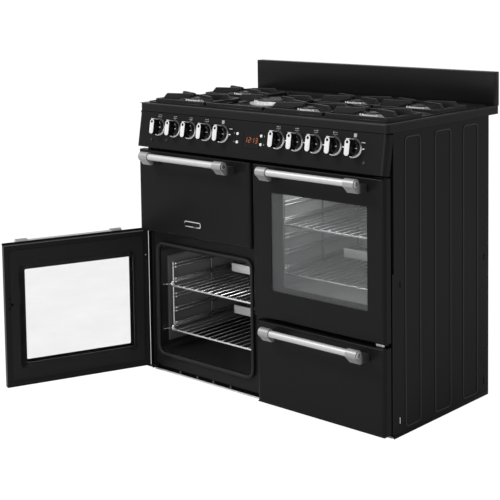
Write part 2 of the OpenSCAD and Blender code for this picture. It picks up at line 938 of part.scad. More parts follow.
// Hinge brackets and pins of the side-hung doors, grill hinge arms and door catches
module door_hinges()
    color("silver") {
        for (s = [-1, 1]) {
            z0 = s < 0 ? left_z0 : right_z0;
            z1 = s < 0 ? left_top : high_top;
            for (e = [[z0 - 3.4, 1], [z1 + 0.6, -1]])
                translate([s * hinge_x, -hinge_y, e[0]]) {
                    linear_extrude(2.8) {
                        circle(6);
                        translate([s < 0 ? 0 : -32, -6])
                            square([32, 12]);
                        translate([s < 0 ? 12 : -32, -6])
                            square([20, frame_y + hinge_y + 6]);
                    }
                    translate([0, 0, e[1] > 0 ? 1 : -8])
                        cylinder(h = 9.8, r = 3);
                }
        }
        for (x = GRILL_ARMS) {
            side_slab(x - 1.5, x + 1.5) {
                translate(grill_axis)
                    circle(3.5);
                translate([grill_axis[0], grill_axis[1] - 3])
                    square([frame_y - grill_axis[0], 6]);
                translate([frame_y - 3, grill_axis[1] - 12])
                    square([3, 40]);
            }
            wire_x(x - 4, x + 4, grill_axis[0], grill_axis[1], 3);
        }
        for (s = [-1, 1]) {
            z = s < 0 ? 291 : 560;
            box(min(s * 14, s * 29.3), max(s * 14, s * 29.3), frame_y - 3, frame_y,
                z - 14, z + 14);
            translate([s * catch_x, frame_y - 2, z])
                rotate([90, 0, 0])
                    cylinder(h = 8, r = 4);
        }
    }

// Round-section seal run round an opening
module seal(x0, x1, z0, z1) {
    r = 28;
    rs = 6;
    y = frame_y - rs - 0.4;
    for (z = [z0, z1])
        wire_x(x0 + r, x1 - r, y, z, rs);
    for (x = [x0, x1])
        wire_z(x, y, z0 + r, z1 - r, rs);
    for (c = [[x0 + r, z0 + r, 180], [x1 - r, z0 + r, 270],
              [x1 - r, z1 - r, 0], [x0 + r, z1 - r, 90]])
        translate([c[0], y, c[1]])
            rotate([90, 0, 0])
                rotate([0, 0, c[2]])
                    rotate_extrude(angle = 90)
                        translate([r, 0])
                            circle(rs, $fn = 24);
}

module door_seals()
    color("#0f0f10") {
        seal(-oven_far - 7, -oven_near + 11, left_floor - 7, left_roof + 12);
        seal(oven_near - 11, oven_far + 7, right_floor - 7, right_roof + 12);
    }

base_frame();
side_panel_left();
side_panel_right();
back_panel();
front_frame();
left_oven_cavity();
right_oven_cavity();
grill_cavity();
drawer_runners();
control_panel();
hob_tray();
splashback();
knob_bezels();
clock_display();
timer_button_1();
timer_button_2();
timer_button_3();
timer_button_4();
knob_1();
knob_2();
knob_3();
knob_4();
knob_5();
knob_6();
knob_7();
knob_8();
knob_9();
knob_10();
burner_crowns();
burner_caps();
pan_supports_left();
wok_support();
pan_supports_middle();
pan_supports_right();
left_door_skin();
left_door_glass();
left_door_liner();
left_door_inner_glass();
left_door_bar();
left_door_brackets();
right_door_skin();
right_door_glass();
right_door_liner();
right_door_inner_glass();
right_door_bar();
right_door_brackets();
grill_door_skin();
grill_door_liner();
grill_door_bar();
grill_door_brackets();
drawer_front();
drawer_box();
drawer_bar();
drawer_brackets();
oven_side_racks();
left_shelf_upper();
left_shelf_lower();
right_oven_shelves();
door_hinges();
door_seals();
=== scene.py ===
import bmesh
import bpy
import math
from mathutils import Matrix, Vector


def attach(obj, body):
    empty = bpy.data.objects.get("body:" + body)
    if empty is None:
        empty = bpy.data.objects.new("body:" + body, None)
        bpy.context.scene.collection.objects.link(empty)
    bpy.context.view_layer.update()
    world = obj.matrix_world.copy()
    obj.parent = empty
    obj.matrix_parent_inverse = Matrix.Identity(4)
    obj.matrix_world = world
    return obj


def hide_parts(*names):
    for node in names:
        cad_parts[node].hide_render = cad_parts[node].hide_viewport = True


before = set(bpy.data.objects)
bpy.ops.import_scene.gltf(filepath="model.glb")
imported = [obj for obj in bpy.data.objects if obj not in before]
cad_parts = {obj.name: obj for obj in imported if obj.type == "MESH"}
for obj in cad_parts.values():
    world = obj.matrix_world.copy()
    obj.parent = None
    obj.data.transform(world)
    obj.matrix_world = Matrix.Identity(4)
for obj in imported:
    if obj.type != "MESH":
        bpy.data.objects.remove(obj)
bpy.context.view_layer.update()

# ---------------------------------------------------------------- driving sizes, in metres

HOB_TOP = 0.908
SIDE_FACE = 0.497                             # outer faces of the side panels
DOOR_FACE, LINER_FACE = -0.315, -0.284        # front and back of a closed door
PANEL_FOOT, PANEL_LOW = -0.320, 0.766         # lower edge of the control panel
LEAN = math.atan(0.020 / 0.116)               # of the control panel, backwards
KNOB_Z = 0.834
KNOB_RISE = (KNOB_Z - PANEL_LOW) / math.cos(LEAN)    # up the panel's face
KNOB_X = [-0.402 + 0.070 * i for i in range(5)] + [0.1045 + 0.0713 * i for i in range(5)]
LEFT_HINGE, LEFT_OPEN = (-0.491, -0.299), 111.0
BAR_OUT, BAR_LONG = 0.050, 0.364              # handle bars, from the door's face
OVEN_MIDDLE, OVEN_LIFT = 0.248, 0.270         # to either side; the right oven over the left one
RUNGS = (0.152, 0.203, 0.252, 0.303, 0.354)   # shelf heights in the left oven
COLUMNS = ((-0.464, -0.239), (-0.235, 0.008), (0.013, 0.242), (0.246, 0.478))    # of pan supports
ROWS, WOK_COLUMN = (-0.179, 0.058), 1         # front and rear burners; the wok burner's column
BURNER_R, WOK_R = 0.032, 0.062                # burner crowns

# ---------------------------------------------------------------- camera and light

AZIMUTH, ELEVATION, ROLL = (math.radians(a) for a in (43.291, 4.9365, 0.9472))
EYE = Vector((2.5320, -3.1368, 1.3545))
FOCAL_PX, CENTRE_U, CENTRE_V, PHOTO = 1257.909, 218.447, 74.383, 500.0


def make_camera():
    """The photograph's view: a nearly level lens at the right front, shifted to frame the cooker."""
    ahead = Vector((-math.sin(AZIMUTH) * math.cos(ELEVATION),
                    math.cos(AZIMUTH) * math.cos(ELEVATION), -math.sin(ELEVATION)))
    level = Vector((math.cos(AZIMUTH), math.sin(AZIMUTH), 0.0))
    below = ahead.cross(level)
    right = math.cos(ROLL) * level + math.sin(ROLL) * below
    down = math.cos(ROLL) * below - math.sin(ROLL) * level
    data = bpy.data.cameras.new("camera")
    data.sensor_width = 36.0
    data.lens = FOCAL_PX * data.sensor_width / PHOTO
    data.shift_x = (PHOTO / 2 - CENTRE_U) / PHOTO
    data.shift_y = (CENTRE_V - PHOTO / 2) / PHOTO
    camera = bpy.data.objects.new("camera", data)
    turn = Matrix((right, -down, -ahead)).transposed().to_4x4()
    camera.matrix_world = Matrix.Translation(EYE) @ turn
    bpy.context.scene.collection.objects.link(camera)
    bpy.context.scene.camera = camera


def soft_lamp(name, place, aim, size, power):
    data = bpy.data.lights.new(name, "AREA")
    data.shape = "RECTANGLE"
    data.size, data.size_y = size
    data.energy = power
    lamp = bpy.data.objects.new(name, data)
    lamp.location = place
    lamp.rotation_euler = (Vector(aim) - Vector(place)).to_track_quat("-Z", "Y").to_euler()
    bpy.context.scene.collection.objects.link(lamp)


# ---------------------------------------------------------------- shader writing

class Tone:
    """A shader socket that takes part in arithmetic: each operator adds a Math node."""

    def __init__(self, finish, socket):
        self.finish, self.socket = finish, socket

    def maths(self, operation, *values):
        return self.finish.node("Math", {"operation": operation}, *values)

    def __add__(self, other):
        return self.maths("ADD", self, other)

    def __radd__(self, other):
        return self.maths("ADD", other, self)

    def __sub__(self, other):
        return self.maths("SUBTRACT", self, other)

    def __rsub__(self, other):
        return self.maths("SUBTRACT", other, self)

    def __mul__(self, other):
        return self.maths("MULTIPLY", self, other)

    def __rmul__(self, other):
        return self.maths("MULTIPLY", other, self)

    def above(self, level):
        return self.maths("GREATER_THAN", self, level)

    def below(self, level):
        return self.maths("LESS_THAN", self, level)


class Finish:
    """The nodes of one material or world."""

    def __init__(self, name, kind="materials"):
        self.owner = getattr(bpy.data, kind).new(name)
        self.owner.use_nodes = True
        self.tree = self.owner.node_tree
        self.tree.nodes.clear()

    def node(self, kind, settings, *values, out=0, **named):
        """Adds a node: its settings first, then its sockets by order or by name."""
        made = self.tree.nodes.new("ShaderNode" + kind)
        for key, value in settings.items():
            setattr(made, key, value)
        for key, value in [*enumerate(values), *named.items()]:
            socket = made.inputs[key.replace("_", " ") if isinstance(key, str) else key]
            if isinstance(value, Tone):
                self.tree.links.new(value.socket, socket)
            elif socket.type == "RGBA" and value is not None:
                socket.default_value = (*value, 1.0)
            elif value is not None:
                socket.default_value = value
        return Tone(self, made.outputs[out]) if made.outputs else None

    def here(self):
        return self.node("TexCoord", {}, out="Object")

    def along(self, axis):
        """Place on the object along one axis."""
        return self.node("SeparateXYZ", {}, self.here(), out=axis)

    def seen(self):
        """1 where the camera looks straight at the surface or through a window."""
        straight = self.node("LightPath", {}, out="Is Camera Ray")
        through = self.node("LightPath", {}, out="Is Transmission Ray")
        return straight.maths("MAXIMUM", straight, through)

    def rise(self, value, start, stop):
        """0 up to the start, 1 from the stop on."""
        return self.node("MapRange", {}, value, start, stop, 0.0, 1.0)

    def noise(self, scale, detail=3.0, rough=0.5, stretch=None):
        place = self.here()
        if stretch:
            place = self.node("Mapping", {}, place, (0, 0, 0), (0, 0, 0), stretch)
        return self.node("TexNoise", {}, place, None, scale, detail, rough)

    def cells(self, scale, out=0):
        return self.node("TexVoronoi", {"feature": "F1"}, self.here(), None, scale, out=out)

    def blend(self, amount, first, second):
        """Colour between two, by a value: the Mix node's colour sockets are its seventh and eighth."""
        return self.node("Mix", {"data_type": "RGBA"}, amount, *[None] * 5, first, second, out=2)

    def bump(self, height, strength, distance):
        return self.node("Bump", {}, Strength=strength, Distance=distance, Height=height)

    def output(self, shader, kind="OutputMaterial"):
        self.node(kind, {}, shader)
        return self.owner

    def surface(self, **sockets):
        """The Principled shader, wired to the output."""
        return self.output(self.node("BsdfPrincipled", {}, **sockets))


# ---------------------------------------------------------------- finishes

def grey(level, blue=0.0):
    return (level, level, level + blue)


def dim(shade, amount):
    """A colour made darker or lighter, never past white."""
    return tuple(min(1.0, amount * c) for c in shade)


def enamel(name, shade, rough, gloss, peel=0.25):
    """Stoved enamel: a faint orange peel, cloudy gloss and a trace of dust."""
    f = Finish(name)
    cloud = f.noise(3.5, 4.0, 0.6)
    grain = f.noise(900.0, 2.0, 0.5)
    dust = f.noise(260.0, 5.0, 0.7)
    body = f.blend(cloud * 0.8 + grain * 0.2, dim(shade, 0.85), dim(shade, 1.15))
    return f.surface(Base_Color=body, Roughness=rough + (cloud - 0.5) * 0.12 + (dust - 0.5) * 0.06,
                     Specular_IOR_Level=gloss, Normal=f.bump(f.noise(420.0, 2.0, 0.45), peel, 0.00012))


def brushed(name, shade, rough, axis, metal):
    """Metal drawn or brushed along one axis."""
    f = Finish(name)
    stretch = tuple(1.0 if each == axis else 60.0 for each in "xyz")
    lines = f.noise(18.0, 4.0, 0.65, stretch)
    cloud = f.noise(14.0, 3.0, 0.5)
    body = f.blend(lines, dim(shade, 0.9), shade)
    return f.surface(Base_Color=body, Metallic=metal,
                     Roughness=rough + (lines - 0.5) * 0.18 + (cloud - 0.5) * 0.05,
                     Normal=f.bump(lines, 0.12, 0.0002))


def satin_metal(name, shade, rough, metal, foot=None):
    """Bead-blasted and lacquered casting, with painted shade: nearly black behind the plane y = foot."""
    f = Finish(name)
    grit = f.noise(1500.0, 3.0, 0.6)
    cloud = f.noise(25.0, 3.0, 0.5)
    body = f.blend(grit * 0.5 + cloud * 0.5, dim(shade, 0.92), shade)
    if foot is not None:
        # painted shade: behind this plane the bracket's foot is coloured near black
        behind = f.rise(f.along("Y"), foot - 0.006, foot + 0.006)
        body = f.blend(behind, body, dim(shade, 0.16))
    return f.surface(Base_Color=body, Metallic=metal, Roughness=rough + (cloud - 0.5) * 0.1,
                     Normal=f.bump(grit, 0.15, 0.0001))


def chrome(name, shade, rough):
    f = Finish(name)
    smear = f.noise(60.0, 4.0, 0.6)
    return f.surface(Base_Color=f.blend(smear, dim(shade, 0.94), shade), Metallic=1.0,
                     Roughness=rough + smear * 0.06)


def galvanised(name, shade):
    """Zinc-coated sheet with its spangle."""
    f = Finish(name)
    level = f.node("RGBToBW", {}, f.cells(70.0, "Color"))
    body = f.blend(level * 0.7 + f.noise(300.0, 3.0, 0.6) * 0.3, dim(shade, 0.75), shade)
    return f.surface(Base_Color=body, Metallic=0.8, Roughness=0.4 + (level - 0.5) * 0.2)


def cast_iron(name, shade):
    """Vitreous coating over sand-cast iron."""
    f = Finish(name)
    sand = f.noise(420.0, 6.0, 0.65)
    body = f.blend(sand, dim(shade, 0.7), dim(shade, 1.3))
    return f.surface(Base_Color=body, Roughness=0.42 + (sand - 0.5) * 0.25, Specular_IOR_Level=0.35,
                     Normal=f.bump(sand * 0.7 + f.cells(650.0) * 0.3, 0.35, 0.0006))


def speckled_enamel(name, shade, rough, gloss, fleck, field=None):
    """Oven enamel: fine pale flecks in a glossy ground, with painted shade that darkens it outside a lit
    field of the walls.

    The field is given by its front, its foot and its top.
    """
    f = Finish(name)
    flecks = f.cells(420.0).below(0.22) * fleck
    cloud = f.noise(9.0, 4.0, 0.6)
    ground = f.blend(cloud, dim(shade, 0.85), dim(shade, 1.15))
    if field:
        front, low, high = field
        height = f.along("Z")
        wall = f.along("Y").above(front) * height.above(low) * height.below(high)
        # painted shade: outside the field the ground and its flecks are darkened
        ground = f.blend(wall, dim(shade, 0.10), ground)
        flecks = flecks * (wall * 0.7 + 0.1)
    pale = tuple(min(1.0, c * 2.2 + 0.05) for c in shade)
    return f.surface(Base_Color=f.blend(flecks, ground, pale), Roughness=rough + (cloud - 0.5) * 0.14,
                     Specular_IOR_Level=gloss, Normal=f.bump(f.noise(260.0, 2.0, 0.5), 0.2, 0.0002))


def plastic(name, shade, rough, gloss=0.5):
    f = Finish(name)
    handled = f.noise(45.0, 4.0, 0.6)
    body = f.blend(handled, dim(shade, 0.88), dim(shade, 1.08))
    return f.surface(Base_Color=body, Roughness=rough + (handled - 0.5) * 0.12, Specular_IOR_Level=gloss,
                     Normal=f.bump(f.noise(1200.0, 2.0, 0.5), 0.12, 0.00008))


def rubber(name, shade):
    f = Finish(name)
    chalk = f.noise(220.0, 5.0, 0.7)
    body = f.blend(chalk, dim(shade, 0.7), dim(shade, 1.5))
    return f.surface(Base_Color=body, Roughness=0.6 + (chalk - 0.5) * 0.2, Specular_IOR_Level=0.3,
                     Normal=f.bump(chalk, 0.2, 0.0003))


def depth_shaded_wire(name, near, far):
    """Plated wire with painted shade: light at the oven's mouth and darker with depth into the oven."""
    f = Finish(name)
    # painted shade: the wire's colour darkens towards the back of the oven
    painted_depth_shade = f.rise(f.along("Y"), -0.222, -0.060)
    return f.surface(Base_Color=f.blend(painted_depth_shade, grey(near), grey(far)), Metallic=0.8,
                     Roughness=0.2 + f.noise(60.0, 4.0, 0.6) * 0.1)


def window_glass(name, shade, cover):
    """Toughened glass: a thin veil, with a faint haze of wiping marks."""
    f = Finish(name)
    haze = f.noise(7.0, 5.0, 0.65, (1.0, 1.0, 3.0))
    return f.surface(Base_Color=f.blend(haze, dim(shade, 0.8), shade), Roughness=0.03 + haze * 0.05,
                     Specular_IOR_Level=0.5, Alpha=cover + (haze - 0.5) * 0.04)


def glow(name, shade, strength):
    """Lit segments behind dark glass, a little uneven."""
    f = Finish(name)
    lit = f.blend(f.noise(180.0, 2.0, 0.5), dim(shade, 0.75), shade)
    return f.surface(Base_Color=(0.02, 0.01, 0.005), Emission_Color=lit, Emission_Strength=strength,
                     Roughness=0.4)


def ring_metal(name):
    """Dished ring round a knob, with painted light: white below the knob's middle and painted shade in
    its upper half.
    """
    f = Finish(name)
    # painted light: the mask turns the ring from white below to dark above the knob's middle
    shaded = f.rise(f.along("Z"), KNOB_Z - 0.004, KNOB_Z + 0.012)
    return f.surface(Base_Color=f.blend(shaded, grey(0.98), grey(0.10)), Metallic=0.1,
                     Roughness=0.3 + f.noise(80.0, 3.0, 0.5) * 0.1)


FINISHES = {
    "panel": enamel("panel_enamel", grey(0.0080, 0.0002), 0.36, 0.14),
    "door": enamel("door_enamel", grey(0.0078, 0.0002), 0.33, 0.14),
    "hob": enamel("hob_enamel", grey(0.0125, 0.0003), 0.32, 0.17),
    "splash": enamel("splash_enamel", grey(0.0075, 0.0002), 0.32, 0.16),
    "side": enamel("side_paint", grey(0.0090, 0.0002), 0.45, 0.14, 0.4),
    # pale paint of the plinth clips, and the painted highlight on the bead crests and the hob's edge
    "bead": enamel("pale_paint_and_highlight", grey(0.052, 0.001), 0.45, 0.2, 0.4),
    "frame": enamel("frame_enamel", grey(0.0110, 0.0003), 0.40, 0.16),
    # near-black finish used as painted shade in recesses, holes and slots
    "dark": enamel("painted_shade_black", grey(0.0012), 0.7, 0.03),
    "bar": brushed("brushed_bar", grey(0.64), 0.44, "x", 0.35),
    "swung_bar": brushed("brushed_swung_bar", grey(0.64), 0.44, "y", 0.35),
    # the brackets' feet carry painted shade behind this plane
    "bracket": satin_metal("satin_bracket", grey(0.40, 0.005), 0.42, 0.45, DOOR_FACE - 0.034),
    "swung_bracket": satin_metal("satin_swung_bracket", grey(0.40, 0.005), 0.42, 0.45),
    "cap_end": satin_metal("bracket_cap", grey(0.62), 0.3, 0.85),
    "chrome": chrome("chrome_trim", grey(0.86, 0.01), 0.08),
    "ring": ring_metal("knob_ring"),
    "wire": depth_shaded_wire("chrome_wire", 0.92, 0.20),
    "tip": brushed("wire_tip", grey(0.9), 0.3, "x", 0.3),
    "zinc": galvanised("zinc_sheet", (0.55, 0.56, 0.56)),
    "plinth": galvanised("plinth_sheet", grey(0.88)),
    "iron": cast_iron("cast_iron", grey(0.0075, 0.0003)),
    "crown": brushed("burner_alloy", (0.92, 0.92, 0.91), 0.34, "z", 0.35),
    "cap": cast_iron("cap_enamel", grey(0.006, 0.0002)),
    # the left oven's walls carry painted shade outside the field given here
    "left_oven": speckled_enamel("left_oven_enamel", grey(0.095, 0.002), 0.4, 0.3, 0.3,
                                 field=(-0.238, 0.099, 0.387)),
    # paler than the left oven's enamel as painted lamplight; a lamp inside lights it as well
    "right_oven": speckled_enamel("right_oven_enamel_painted_lamplight", (0.34, 0.35, 0.35), 0.42, 0.4, 0.2),
    "liner": speckled_enamel("liner_enamel", grey(0.0095, 0.0003), 0.38, 0.18, 0.08),
    "knob": plastic("knob_plastic", grey(0.0045, 0.0003), 0.24, 0.25),
    "button": plastic("button_plastic", grey(0.88), 0.3),
    "grip_face": plastic("grip_facing", grey(0.80), 0.4, 0.3),
    "display": plastic("display_glass", grey(0.004, 0.001), 0.12, 0.25),
    "seal": rubber("seal_rubber", grey(0.011)),
    "clear": window_glass("clear_glass", grey(0.02, 0.001), 0.05),
    "veiled": window_glass("veiled_glass", (0.165, 0.169, 0.172), 0.30),
    "card": plastic("plain_card", (0.72, 0.72, 0.71), 0.6, 0.3),
    "mark": plastic("printed_mark", grey(0.42), 0.5, 0.3),
    "amber": glow("amber_segments", (1.0, 0.26, 0.03), 0.8),
    "lens": plastic("lamp_lens", (0.02, 0.018, 0.018), 0.1, 0.6),
    "ceramic": plastic("igniter_ceramic", (0.7, 0.69, 0.66), 0.5, 0.3),
}

NODE_FINISH = {
    "base_frame": "plinth", "side_panel_left": "side", "side_panel_right": "side", "back_panel": "zinc",
    "front_frame": "frame", "left_oven_cavity": "left_oven", "right_oven_cavity": "right_oven",
    "grill_cavity": "left_oven", "drawer_runners": "zinc", "control_panel": "panel",
    "hob_tray": "hob", "splashback": "splash", "knob_bezels": "ring", "clock_display": "display",
    "burner_crowns": "crown", "burner_caps": "cap", "pan_supports_left": "iron", "wok_support": "iron",
    "pan_supports_middle": "iron", "pan_supports_right": "iron",
    "left_door_skin": "door", "left_door_glass": "clear", "left_door_liner": "liner",
    "left_door_inner_glass": "clear", "left_door_bar": "swung_bar", "left_door_brackets": "swung_bracket",
    "right_door_skin": "door", "right_door_glass": "veiled", "right_door_liner": "liner",
    "right_door_inner_glass": "clear", "right_door_bar": "bar", "right_door_brackets": "bracket",
    "grill_door_skin": "door", "grill_door_liner": "liner", "grill_door_bar": "bar",
    "grill_door_brackets": "bracket", "drawer_front": "door", "drawer_box": "zinc",
    "drawer_bar": "bar", "drawer_brackets": "bracket", "oven_side_racks": "wire",
    "left_shelf_upper": "wire", "left_shelf_lower": "wire", "right_oven_shelves": "wire",
    "door_hinges": "frame", "door_seals": "seal",
    **{"knob_%d" % n: "knob" for n in range(1, 11)},
    **{"timer_button_%d" % n: "button" for n in range(1, 5)},
}


def dress_nodes():
    """Every CAD node takes its finish."""
    for node, finish in NODE_FINISH.items():
        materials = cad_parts[node].data.materials
        materials.clear()
        materials.append(FINISHES[finish])


# ---------------------------------------------------------------- shaping

TO_FRONT = Matrix.Rotation(math.radians(90), 4, "X")    # turns Z to face the front
TO_BACK = Matrix.Rotation(math.radians(-90), 4, "X")


def at(x, y, z):
    return Matrix.Translation((x, y, z))


def both_sides(near, far):
    """The spans between two distances from the middle, left and right of it."""
    return (-far, -near), (near, far)


def finish_piece(name, bm, finish, body):
    """Turns a bmesh into a piece that rides on a body."""
    bmesh.ops.remove_doubles(bm, verts=bm.verts, dist=1e-7)
    bmesh.ops.recalc_face_normals(bm, faces=bm.faces)
    mesh = bpy.data.meshes.new(name)
    bm.to_mesh(mesh)
    bm.free()
    mesh.materials.append(FINISHES[finish])
    mesh.shade_smooth()
    mesh.set_sharp_from_angle(angle=math.radians(30))
    piece = bpy.data.objects.new(name, mesh)
    bpy.context.scene.collection.objects.link(piece)
    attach(piece, body)
    return piece


def edges_of(verts):
    return list({e for v in verts for e in v.link_edges})


def top_edges(verts, height):
    return [e for e in edges_of(verts) if all(abs(v.co.z - height) < 1e-6 for v in e.verts)]


def soften(bm, made, edges, width, segments=2):
    """Bevels edges of a new solid and gives back its vertices."""
    out = bmesh.ops.bevel(bm, geom=edges, offset=width, segments=segments, profile=0.5,
                          affect="EDGES", material=-1)
    return list({v for f in out["faces"] for v in f.verts} | {v for v in made if v.is_valid})


def cuboid(bm, low, high):
    low, high = Vector(low), Vector(high)
    box = Matrix.Translation((low + high) / 2) @ Matrix.Diagonal((*(high - low), 1.0))
    return bmesh.ops.create_cube(bm, size=1.0, matrix=box)["verts"]


def block(bm, low, high, soft=0.0, place=Matrix.Identity(4)):
    """A box between two corners, its edges softened."""
    made = cuboid(bm, low, high)
    if soft:
        made = soften(bm, made, edges_of(made), soft)
    bmesh.ops.transform(bm, matrix=place, verts=made)


def disc(bm, radius, depth, place, segments, soft=0.0):
    """A round slug standing on the place's XY plane."""
    made = bmesh.ops.create_cone(bm, cap_ends=True, segments=segments, radius1=radius,
                                 radius2=radius, depth=depth, matrix=at(0, 0, depth / 2))["verts"]
    if soft:
        made = soften(bm, made, top_edges(made, depth), soft)
    bmesh.ops.transform(bm, matrix=place, verts=made)


def slab(bm, width, height, radius, depth, place, soft=0.0, arc=6):
    """A plate with round corners standing on the place's XY plane."""
    made = cuboid(bm, (-width / 2, -height / 2, 0), (width / 2, height / 2, depth))
    upright = [e for e in edges_of(made) if abs(e.verts[0].co.z - e.verts[1].co.z) > depth / 2]
    made = soften(bm, made, upright, radius, arc)
    if soft:
        made = soften(bm, made, top_edges(made, depth), soft)
    bmesh.ops.transform(bm, matrix=place, verts=made)


def block_piece(name, finish, body, boxes, place=Matrix.Identity(4)):
    """A piece made of boxes, each given by two corners and the softness of its edges."""
    bm = bmesh.new()
    for low, high, soft in boxes:
        block(bm, low, high, soft, place)
    return finish_piece(name, bm, finish, body)


# ---------------------------------------------------------------- control panel

PRINT = 0.00025             # thickness of a printed mark


def on_panel(x, rise, out=0.0):
    """Frame whose Z points out of the leaning control panel, with Y up along it."""
    return (at(0, PANEL_FOOT, PANEL_LOW) @ Matrix.Rotation(-LEAN, 4, "X")
            @ at(x, -out, rise) @ TO_FRONT)


def knob_faces():
    """The pale facing of each grip with its round index, a pale strip of painted highlight on the grip's
    top end, and the base's tick.
    """
    for number, x in enumerate(KNOB_X, 1):
        body = "control_knob_%d" % number
        centre = on_panel(x, KNOB_RISE)
        bm = bmesh.new()
        slab(bm, 0.0172, 0.0470, 0.0080, 0.0012, centre @ at(0, 0, 0.0338), 0.0005)
        finish_piece("knob_%d_face" % number, bm, "grip_face", body)
        bm = bmesh.new()
        disc(bm, 0.0044, 0.0006, centre @ at(0, 0.0160, 0.0348), 24, 0.0002)
        block(bm, (-0.0015, -0.0243, 0.0333), (0.0015, -0.0238, 0.0353), 0.0, centre)
        finish_piece("knob_%d_index" % number, bm, "knob", body)
        # the first box is a painted highlight along the grip's top end
        block_piece("knob_%d_trim" % number, "grip_face", body,
                    [((-0.0066, 0.0240, 0.0130), (0.0066, 0.0262, 0.0332), 0.0004),
                     ((0.0130, -0.0010, 0.0122), (0.0192, 0.0010, 0.0138), 0.0002)], centre)


SEGMENTS = {"1": "bc", "2": "abged", "3": "abgcd"}  # lit bars of a seven-segment figure


def clock_figures():
    """Amber seven-segment figures behind the clock window."""
    tall, wide, thick, slant = 0.0150, 0.0070, 0.0013, 0.12
    middle, out = KNOB_RISE - 0.0095, 0.0010
    bm = bmesh.new()
    for figure, x in zip("1213", (-0.0190, -0.0050, 0.0090, 0.0225)):
        for bar in SEGMENTS[figure]:
            flat = bar in "agd"
            dx = 0 if flat else (wide / 2 if bar in "bc" else -wide / 2)
            dy = {"a": tall / 2, "g": 0, "d": -tall / 2}.get(bar, tall / 4 if bar in "bf" else -tall / 4)
            size = (wide - thick, thick) if flat else (thick, tall / 2 - thick * 0.7)
            slab(bm, *size, thick * 0.45, 0.0003, on_panel(x + dx + dy * slant, middle + dy, out), arc=3)
    for dy in (-0.003, 0.003):
        disc(bm, 0.0007, 0.0003, on_panel(0.0025, middle + dy, out), 12)
    finish_piece("clock_figures", bm, "amber", "carcass")


def panel_marks():
    """Printed signs: a hob plan over each knob, an off mark beside it and the timer signs."""
    bm = bmesh.new()
    for number, x in enumerate(KNOB_X):
        rise = KNOB_RISE + 0.0366
        if number in (4, 9):
            slab(bm, 0.0105, 0.0105, 0.0015, PRINT, on_panel(x + 0.0008, rise), arc=3)
        else:
            for column in range(4):
                for row in (-1, 1):
                    lit = (column, row) == (number % 4, -1 if number < 4 else 1)
                    disc(bm, 0.0019 if lit else 0.0012, PRINT,
                         on_panel(x - 0.0060 + 0.0042 * column, rise + 0.0028 * row), 12)
        disc(bm, 0.0010, PRINT, on_panel(x, KNOB_RISE + 0.0296), 12)
    for x, rise in ((-0.0860, 0.0868), (0.4207, 0.0870)):
        slab(bm, 0.0135, 0.0030, 0.0010, PRINT, on_panel(x, rise), arc=3)
    for x, rise in ((-0.0690, 0.0755), (-0.0690, 0.0494), (0.0530, 0.0749), (0.0530, 0.0493)):
        slab(bm, 0.0020, 0.0038, 0.0008, PRINT, on_panel(x, rise), arc=3)
    finish_piece("panel_marks", bm, "mark", "carcass")
    bm = bmesh.new()
    for x in KNOB_X:
        slab(bm, 0.0075, 0.0030, 0.0012, 0.0003, on_panel(x + 0.0325, KNOB_RISE), arc=3)
    finish_piece("off_marks", bm, "button", "carcass")


def lamp_lenses():
    """Small round indicator lenses below the oven knobs, each with its rim and a small pale disc of
    painted highlight.
    """
    for number, (x, rise) in enumerate(((-0.4300, 0.0262), (-0.3600, 0.0292), (0.4280, 0.0297)), 1):
        lamp = on_panel(x, rise)
        # painted highlight: a pale disc set off to one side of each lens
        painted_glint = lamp @ at(-0.0030, 0, 0.0012)
        for part, finish, slot, radius, depth, place, segments, soft in (
                ("rim", "knob", "knob_plastic", 0.0062, 0.0012, lamp, 28, 0.0004),
                ("lens", "lens", "display_plastic", 0.0040, 0.0026, lamp, 24, 0.0012),
                ("painted_glint", "mark", "white_button", 0.0013, 0.0005, painted_glint, 12, 0.0002)):
            bm = bmesh.new()
            disc(bm, radius, depth, place, segments, soft)
            finish_piece("lamp_%s_%d" % (part, number), bm, finish, "carcass")


def plain_plate():
    """Blank plate on the grill door."""
    face = at(-0.250, DOOR_FACE, 0.532) @ TO_FRONT
    bm = bmesh.new()
    slab(bm, 0.072, 0.019, 0.006, 0.0016, face, 0.0006)
    finish_piece("blank_plate_rim", bm, "chrome", "grill_door")
    bm = bmesh.new()
    slab(bm, 0.066, 0.013, 0.004, 0.0021, face, 0.0003)
    finish_piece("blank_plate", bm, "knob", "grill_door")


# ---------------------------------------------------------------- carcass

def carcass_trim():
    """Skirts and jambs of the side panels, dark strips of painted shade in the recesses round the front,
    and small fittings.
    """
    block_piece("side_skirts", "side", "carcass",
                [((low, -0.2700, 0.0006), (high, 0.2350, 0.0130), 0.0003)
                 for low, high in both_sides(0.4944, SIDE_FACE)])
    block_piece("door_jambs", "frame", "carcass",
                [((low, -0.2768, 0.0150), (high, -0.2692, 0.4800), 0.0003)
                 for low, high in both_sides(0.4950, 0.4968)])
    # painted shade: black strips in the recesses under the hob and below the drawer
    block_piece("recess_painted_shade", "dark", "carcass",
                [((-0.4930, -0.2697, 0.0062), (0.4930, -0.2682, 0.0180), 0.0002),
                 ((-0.4930, -0.2716, 0.8560), (0.4930, -0.2686, 0.8810), 0.0003),
                 *[((low, -0.2985, 0.8740), (high, -0.2690, 0.8816), 0.0002)
                   for low, high in both_sides(0.4952, 0.4968)]])
    block_piece("plinth_clips", "bead", "carcass",
                [((x - 0.0035, -0.2712, 0.0070), (x + 0.0035, -0.2690, 0.0175), 0.0004)
                 for x in (-0.364, -0.285, -0.213, -0.138)])
    block_piece("drawer_lip", "door", "drawer",
                [((0.0185, -0.3140, 0.0152), (0.4945, -0.2850, 0.0186), 0.0008)])
    block_piece("hinge_foot", "tip", "carcass",
                [((0.4560, -0.3010, 0.2730), (0.4840, -0.2950, 0.2812), 0.0012)])
    block_piece("latch_plate", "swung_bracket", "carcass",
                [((-0.1050, -0.2706, 0.0560), (-0.0630, -0.2684, 0.0640), 0.0008)])


